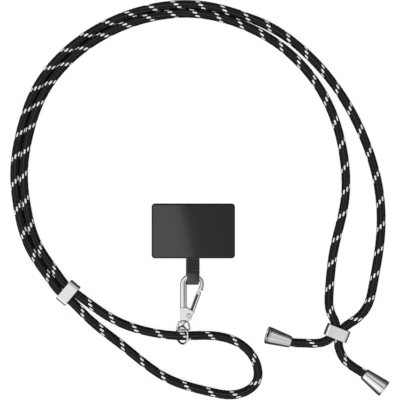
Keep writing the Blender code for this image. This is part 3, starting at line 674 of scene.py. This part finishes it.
# Hook frame. One zinc casting, polished and plated: a spine of oval bar that bends over in an arch and comes
# down as the nose, on a forked base that holds the gate, with a turned post below that ends in a ball.
HOOK_DEPTH = 0.0041
SPINE_WIDTH = 0.0042
ARCH_START = 0.0103
ARCH_RISE = 0.0047
NOSE_X = -0.01355
NOSE_NECK_WIDTH = 0.0023
NOSE_WIDTH = 0.0030
NOSE_LEAN = 0.0008
NOSE_END = 0.0059
BASE_BOTTOM = -0.0133
BASE_DEPTH = 0.0046
BASE_FOOT = 0.0009
BASE_SHOULDER = 0.0036
BASE_SHOULDER_UP = 0.0026
BASE_TOP = 0.0053
BALL_RADIUS = 0.0008
BALL_Y = EYE_TOP_Y - EYE_COLLAR / 2 - 0.0003 - BALL_RADIUS
RIVET_X = SPINE_X + 0.0035
RIVET_Y = BASE_BOTTOM + 0.0031
GATE_DEPTH = 0.0020
GATE_BOSS_RADIUS = 0.0019
RIVET_RADIUS = 0.0008


def oval_bar(name, stations, depth, sides, square=1.0):
    """A bar in the hook's plane through stations of (x, y, width). Its section is cos b by sin b, made squarer
    by raising both to the power square, with a closed end face at each end."""
    stations = np.asarray(stations, float)
    along = unit(np.gradient(stations[:, :2], axis=0))
    out = np.stack([along[:, 1], -along[:, 0]], 1)
    b = np.linspace(0, 2 * math.pi, sides, endpoint=False)
    wide, deep = (np.sign(f(b)) * np.abs(f(b)) ** square for f in (np.cos, np.sin))
    flat = stations[:, None, :2] + out[:, None] * wide[None, :, None] * stations[:, None, 2:] / 2
    up = np.broadcast_to(HOOK_LIFT + depth / 2 * deep[None, :, None], (len(stations), sides, 1))
    mesh = loft(name, np.concatenate([flat, up], -1))
    point_out(mesh)
    return mesh


def plate(name, outline, low, high, edge):
    """A flat outline, convex and counter-clockwise, raised from low to high with its rims rounded to edge."""
    outline = np.asarray(outline, float)
    before, after = (unit(np.roll(outline, way, 0) - outline) for way in (1, -1))
    outward = unit(np.stack([after[:, 1] - before[:, 1], before[:, 0] - after[:, 0]], -1))
    loops = []
    for turn in np.radians(np.linspace(-90, 90, 9)):
        rise = low + edge if turn < 0 else high - edge
        inset = edge * (1 - math.cos(turn))
        height = np.full((len(outline), 1), rise + edge * math.sin(turn))
        loops.append(np.concatenate([outline - outward * inset, height], -1))
    mesh = loft(name, loops)
    point_out(mesh)
    return mesh


def rounded(outline, radius, steps=5):
    """A convex outline with each corner replaced by a parabola that starts radius before it and ends after it."""
    outline = np.asarray(outline, float)
    before, after = (radius * unit(np.roll(outline, way, 0) - outline) for way in (1, -1))
    share = np.linspace(0, 1, steps + 1)[None, :, None]
    bent = outline[:, None] + before[:, None] * (1 - share) ** 2 + after[:, None] * share**2
    return bent.reshape(-1, 2)


middle, half_span = (SPINE_X + NOSE_X) / 2, (NOSE_X - SPINE_X) / 2
bar = [(SPINE_X, y, SPINE_WIDTH) for y in np.linspace(RIVET_Y, ARCH_START, 16, endpoint=False)]
for share in np.linspace(0, 1, 49):
    turn = math.pi * (1 - share)
    width = SPINE_WIDTH + (NOSE_NECK_WIDTH - SPINE_WIDTH) * share
    bar.append((middle + half_span * math.cos(turn), ARCH_START + ARCH_RISE * math.sin(turn), width))
for share in np.linspace(0.08, 1, 12):
    eased = share * share * (3 - 2 * share)
    width = NOSE_NECK_WIDTH + (NOSE_WIDTH - NOSE_NECK_WIDTH) * eased
    bar.append((NOSE_X - NOSE_LEAN * eased, ARCH_START - (ARCH_START - NOSE_END) * share, width))
hook_mesh = oval_bar("hook_casting", bar, HOOK_DEPTH, 56, 0.62)

spine_left, spine_right = SPINE_X - SPINE_WIDTH / 2, SPINE_X + SPINE_WIDTH / 2
low, high = HOOK_LIFT - BASE_DEPTH / 2, HOOK_LIFT + BASE_DEPTH / 2
base = rounded([
    (spine_left, BASE_BOTTOM),
    (RIVET_X + BASE_FOOT, BASE_BOTTOM),
    (RIVET_X + BASE_SHOULDER, RIVET_Y + BASE_SHOULDER_UP),
    (spine_right, RIVET_Y + BASE_TOP),
    (spine_left, RIVET_Y + BASE_TOP),
], 0.0005)
hook_mesh = fuse(hook_mesh, plate("hook_base", base, low, high, 0.0004), "UNION")
neck = BALL_Y + math.sqrt(BALL_RADIUS**2 - POST_RADIUS**2)
post = [(RIVET_Y, POST_RADIUS), (neck, POST_RADIUS)]
post += [(BALL_Y + along, radius) for along, radius in arc((0, 0), BALL_RADIUS, 55, 175, 10)]
hook_mesh = fuse(hook_mesh, turned("hook_post", "y", post, eye_centre), "UNION")
reach = GATE_BOSS_RADIUS + 0.0003
far = RIVET_X + BASE_SHOULDER + reach
slot = [
    (RIVET_X - reach, RIVET_Y - reach), (far, RIVET_Y - reach), (far, RIVET_Y + BASE_TOP + reach),
    (spine_right + 0.0003, RIVET_Y + BASE_TOP + reach), (spine_right + 0.0003, RIVET_Y + BASE_SHOULDER_UP),
    (RIVET_X - reach, RIVET_Y + reach / 2),
]
half = GATE_DEPTH / 2 + 0.0003
slot_loops = [[(x, y, z) for x, y in slot] for z in (HOOK_LIFT - half, HOOK_LIFT + half)]
slot_mesh = loft("gate_slot", slot_loops)
point_out(slot_mesh)
hook_mesh = fuse(hook_mesh, slot_mesh, "DIFFERENCE")
hole = [(low - 0.001, RIVET_RADIUS + 0.0003), (high + 0.001, RIVET_RADIUS + 0.0003)]
hook_mesh = fuse(hook_mesh, turned("rivet_hole", "z", hole, (RIVET_X, RIVET_Y, 0)), "DIFFERENCE")
hook = show("hook_casting", hook_mesh, polished, "hook")
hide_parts("hook_frame")


# Gate. A sprung lever between the fork's cheeks, drilled for the rivet, that closes on the inside of the nose.
GATE_WIDTH = 0.0030
tip = (NOSE_X - NOSE_LEAN - GATE_WIDTH * 0.3, NOSE_END - 0.0006)
root = (RIVET_X + 0.0018, RIVET_Y + 0.0019)
lever = [(RIVET_X + 0.0003, RIVET_Y, GATE_WIDTH)]
for share in np.linspace(0, 1, 16):
    width = GATE_WIDTH * (1 if share < 0.9 else math.sqrt(1 - ((share - 0.9) / 0.1) ** 2 * 0.5))
    lever.append((root[0] + (tip[0] - root[0]) * share, root[1] + (tip[1] - root[1]) * share, width))
gate_mesh = oval_bar("gate_lever", lever, GATE_DEPTH, 32, 0.8)
low, high = HOOK_LIFT - GATE_DEPTH / 2, HOOK_LIFT + GATE_DEPTH / 2
boss = [(low, GATE_BOSS_RADIUS - 0.0001), (low + 0.0001, GATE_BOSS_RADIUS)]
boss += [(high - 0.0001, GATE_BOSS_RADIUS), (high, GATE_BOSS_RADIUS - 0.0001)]
gate_mesh = fuse(gate_mesh, turned("gate_boss", "z", boss, (RIVET_X, RIVET_Y, 0)), "UNION")
gate_mesh = fuse(gate_mesh, turned("gate_hole", "z", hole, (RIVET_X, RIVET_Y, 0)), "DIFFERENCE")
direction = unit(np.array(tip) - root)
inward = np.array([-direction[1], direction[0]])
channel = np.array([
    np.array(root) + direction * ahead + inward * aside
    for ahead, aside in ((0.0010, -0.0002), (0.0125, -0.0002), (0.0125, 0.0011), (0.0010, 0.0011))
])
cut = plate("gate_channel", rounded(channel, 0.0004), high - 0.0006, high + 0.001, 0.0002)
gate_mesh.materials.clear()
gate_mesh.materials.append(bpy.data.materials.new("plating"))
cut.materials.append(bpy.data.materials.new("channel"))
gate_mesh = fuse(gate_mesh, cut, "DIFFERENCE")
# The channel cut along the lever's top is finished near black with lighter specks: painted shade in the groove.
channel_shade_paint = Nodes("painted_shade_channel")
specks = channel_shade_paint.noise(channel_shade_paint.node("ShaderNodeTexCoord").outputs["Object"], 2400.0, 3.0)
channel_shade_paint.feed("Base Color", channel_shade_paint.mix(specks, (0.008, 0.008, 0.008, 1), (0.05, 0.05, 0.05, 1)))
channel_shade_paint.feed("Roughness", channel_shade_paint.ramp(specks, 0.3, 0.7, 0.35, 0.6))
gate = show("gate_lever", gate_mesh, [polished, channel_shade_paint.material], "gate")
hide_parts("gate")


# Gate rivet. A turned pin through both cheeks, with a low domed head on each side.
seat = BASE_DEPTH / 2 + 0.0003
RIVET_HEAD_RADIUS = 0.00175
RIVET_HEAD = 0.00045
RIVET_DIMPLE = 0.00085
roll = (RIVET_HEAD_RADIUS - RIVET_DIMPLE) / 2
rolled = [(seat, RIVET_RADIUS), (seat, RIVET_HEAD_RADIUS - 0.0001)]
for turn in np.radians(np.linspace(8, 172, 15)):
    across = RIVET_DIMPLE + roll + roll * math.cos(turn)
    rolled.append((seat + RIVET_HEAD * math.sin(turn), across))
rolled += [(seat + 0.00012, RIVET_DIMPLE * 0.9), (seat + 0.00016, RIVET_DIMPLE * 0.45)]
pin = [(-along, radius) for along, radius in rolled[::-1]] + rolled
rivet_mesh = turned("rivet_pin", "z", pin, (RIVET_X, RIVET_Y, HOOK_LIFT))
rivet = show("rivet_pin", rivet_mesh, polished, "hook")
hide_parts("gate_rivet")


# Tether patch. One dark coated sheet, cut with a tongue. The tongue goes over the hook's arch, folds, and comes
# back under it to the patch, where it is welded on. A pressed border runs round the patch.
SHEET = 0.00095
PATCH_WIDTH = 0.0542
PATCH_HEIGHT = 0.0357
PATCH_CORNER = 0.0022
PATCH_LEFT = -0.0463
PATCH_BOTTOM = 0.0265
TONGUE_WIDTH = 0.0080
TONGUE_MIDDLE = -0.0191
TONGUE_FOLD = 0.00965
TONGUE_FOLD_DEPTH = 0.0028
TONGUE_FLAT = 0.0078
TONGUE_SLOPE = 0.0080
TONGUE_TOP = HOOK_LIFT + HOOK_DEPTH / 2 + 0.0003 + SHEET
UNDER_SHIFT = -0.0009
BORDER = 0.0009
BORDER_DROP = 0.00012
HAIR = 0.00001

patch_middle = np.array([PATCH_LEFT + PATCH_WIDTH / 2, PATCH_BOTTOM + PATCH_HEIGHT / 2])


def patch_loop(inset, height):
    """The patch's outline, moved inwards, at a height."""
    corner = max(PATCH_CORNER - inset, 0.0003)
    flat = rounded_box(PATCH_WIDTH - 2 * inset, PATCH_HEIGHT - 2 * inset, corner, 10) + patch_middle
    return np.column_stack([flat, np.full(len(flat), height)])


edge = 0.0003
rim = [patch_loop(edge * (1 - math.cos(a)), edge * (1 + math.sin(a))) for a in np.radians([-90, -60, -30, 0])]
rim += [
    patch_loop(edge * (1 - math.cos(a)), SHEET - BORDER_DROP - edge * (1 - math.sin(a)))
    for a in np.radians([0, 30, 60, 90])
]
rim += [patch_loop(BORDER - 0.0002, SHEET - BORDER_DROP)]
rim += [patch_loop(BORDER, SHEET - BORDER_DROP * 0.4), patch_loop(BORDER + 0.0002, SHEET)]
patch_mesh = loft("tether_sheet", rim)
bordered = np.zeros(len(patch_mesh.polygons), np.int32)
bordered[: (len(rim) - 1) * len(rim[0])] = 1
for place in ("sheet", "border"):
    patch_mesh.materials.append(bpy.data.materials.new(place))
patch_mesh.polygons.foreach_set("material_index", bordered)
point_out(patch_mesh)


def tongue_path():
    """The tongue's middle line seen from its side as (y, z): from under the hook round a squarish half oval
    fold, back over the arch, and down to the patch in an eased slope."""
    inside = SHEET / 2
    turn = np.radians(np.linspace(270, 90, 25))
    deep, tall = TONGUE_FOLD_DEPTH - inside, TONGUE_TOP / 2 - inside
    away, up = np.cos(turn), np.sin(turn)
    fold = np.column_stack([
        TONGUE_FOLD + TONGUE_FOLD_DEPTH - deep * np.abs(away) ** 0.6,
        TONGUE_TOP / 2 + tall * np.sign(up) * np.abs(up) ** 0.6,
    ])
    slope_start = TONGUE_FOLD + TONGUE_FLAT
    over = np.linspace(fold[-1, 0], slope_start, 6)[1:]
    share = np.linspace(0, 1, 17)[1:]
    drop = (TONGUE_TOP - SHEET) * share * share * (3 - 2 * share)
    down = np.column_stack([slope_start + share * (TONGUE_SLOPE + 0.002), TONGUE_TOP - inside - drop])
    return np.concatenate([
        [(fold[0, 0] + 0.001, inside)], fold, np.column_stack([over, np.full(5, TONGUE_TOP - inside)]), down,
    ])


def strip_mesh(name, path, sideways, thinner=0.0):
    """The tongue's flat section, a thin rounded rectangle, carried along a path of (y, z) and moved sideways."""
    along = unit(np.gradient(path, axis=0))
    section = rounded_box(TONGUE_WIDTH - thinner, SHEET - thinner, 0.00022, 4)
    strip = np.stack([
        np.broadcast_to(sideways, len(path))[:, None] + section[None, :, 0],
        path[:, :1] + along[:, 1:] * section[None, :, 1],
        path[:, 1:] - along[:, :1] * section[None, :, 1],
    ], -1)
    mesh = loft(name, strip)
    point_out(mesh)
    return mesh


path = tongue_path()
path[-1, 1] += 2 * HAIR
under = np.column_stack([np.linspace(path[2, 0], PATCH_BOTTOM + 0.002, 12), np.full(12, SHEET / 2)])
share = np.clip(np.linspace(1.5, -0.7, len(path)), 0, 1)
patch_mesh = fuse(patch_mesh, strip_mesh("tongue_under", under, TONGUE_MIDDLE + UNDER_SHIFT, HAIR), "UNION")
shifted = TONGUE_MIDDLE + UNDER_SHIFT * share * share * (3 - 2 * share)
patch_mesh = fuse(patch_mesh, strip_mesh("tongue_over", path, shifted), "UNION")


def coated_sheet(name, shade, coat):
    """Dark grey coated sheet: fine even grain under a clear coat. Shade is its lightest grey."""
    made = Nodes(name)
    place = made.node("ShaderNodeTexCoord").outputs["Object"]
    grain = made.noise(place, 5200.0, 3.0)
    cloudy = made.noise(place, 70.0, 2.0)
    made.feed("Base Color", made.mix(cloudy, (0.8 * shade,) * 3 + (1,), (shade,) * 3 + (1,)))
    made.feed("Roughness", made.ramp(grain, 0.25, 0.75, 0.30, 0.42))
    made.feed("Normal", made.bump(grain, 0.00002, 0.35))
    made.set(Coat_Weight=coat, Coat_Roughness=0.07, Specular_IOR_Level=0.15)
    return made.material


finishes = [coated_sheet("coated_sheet", 0.019, 1.0), coated_sheet("pressed_border", 0.004, 0.35)]
patch = show("tether_sheet", patch_mesh, finishes, "hook")
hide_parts("tether_patch")


# Table and light. A plain pale table top in a soft studio: wide softboxes left, right and in front hang just
# above the camera, and leave a dark gap over the middle. The room beyond is pale in front and dark behind.
TABLE_SHADE = (0.10, 0.20)
TABLE_GLOW = 0.88
PANEL_HEIGHT = 0.75
PANEL_TURN = math.radians(13.3)
PANELS = {
    "left_softbox": ((-0.6115, -0.138), (1.20, 1.80), 1.12),
    "right_softbox": ((0.557, 0.492), (1.10, 0.90), 0.88),
    "front_softbox": ((0.234, -0.467), (0.25, 0.80), 1.15),
    "far_front_softbox": ((0.7206, -0.352), (0.75, 0.80), 0.76),
}
BACK_WALL = [(0.0, 0.07), (0.11, 0.07), (0.16, 0.34), (0.50, 0.34), (0.62, 0.07)]
FRONT_WALL = [(0.0, 0.85), (0.62, 0.85), (0.80, 0.20)]

floor_mesh = bpy.data.meshes.new("table_top")
floor_mesh.from_pydata([(-3, -3, 0), (3, -3, 0), (3, 3, 0), (-3, 3, 0)], [], [(0, 1, 2, 3)])
floor = bpy.data.objects.new("table_top", floor_mesh)
bpy.context.scene.collection.objects.link(floor)
pale = Nodes("pale_table")
glow = pale.node("ShaderNodeLightPath").outputs["Is Camera Ray"]
pale.feed("Emission Strength", pale.ramp(glow, 0.0, 1.0, 0.0, TABLE_GLOW))
pale.feed("Base Color", pale.ramp(glow, 0.0, 1.0, *TABLE_SHADE))
pale.set(Roughness=0.85, Specular_IOR_Level=0.0)
pale.set(Emission_Color=(1.0, 1.0, 1.0, 1))
floor_mesh.materials.append(pale.material)

for name, (middle, (width, depth), radiance) in PANELS.items():
    light = bpy.data.lights.new(name, "AREA")
    light.shape = "RECTANGLE"
    light.size, light.size_y = width, depth
    light.energy = radiance * math.pi * width * depth
    softbox = bpy.data.objects.new(name, light)
    bpy.context.scene.collection.objects.link(softbox)
    softbox.location = (*middle, PANEL_HEIGHT)
    softbox.rotation_euler = (0, 0, PANEL_TURN)
    softbox.visible_camera = False

world = bpy.data.worlds.new("studio")
bpy.context.scene.world = world
world.use_nodes = True
sky = world.node_tree
back = sky.nodes["Background"]
way = sky.nodes.new("ShaderNodeTexCoord")
front = sky.nodes.new("ShaderNodeVectorMath")
front.operation = "DOT_PRODUCT"
front.inputs[1].default_value = (-0.60, -0.80, 0)
rise = sky.nodes.new("ShaderNodeSeparateXYZ")
sky.links.new(way.outputs["Generated"], rise.inputs[0])
sky.links.new(way.outputs["Generated"], front.inputs[0])
room = sky.nodes.new("ShaderNodeMapRange")
room.inputs["From Max"].default_value = 0.6
sky.links.new(front.outputs["Value"], room.inputs["Value"])
for socket, bands in (("To Min", BACK_WALL), ("To Max", FRONT_WALL)):
    wall = sky.nodes.new("ShaderNodeValToRGB")
    wall.color_ramp.elements.remove(wall.color_ramp.elements[0])
    wall.color_ramp.elements[0].position = bands[0][0]
    for place, shade in bands[1:]:
        wall.color_ramp.elements.new(place)
    for band, (place, shade) in zip(wall.color_ramp.elements, bands):
        band.color = (shade, shade, shade, 1)
    sky.links.new(rise.outputs["Z"], wall.inputs["Fac"])
    sky.links.new(wall.outputs[0], room.inputs[socket])
seen = sky.nodes.new("ShaderNodeLightPath")
shown = sky.nodes.new("ShaderNodeMix")
shown.inputs[3].default_value = 0.92
sky.links.new(seen.outputs["Is Camera Ray"], shown.inputs[0])
sky.links.new(room.outputs[0], shown.inputs[2])
sky.links.new(shown.outputs[0], back.inputs["Color"])

bpy.context.scene.view_settings.view_transform = "Standard"
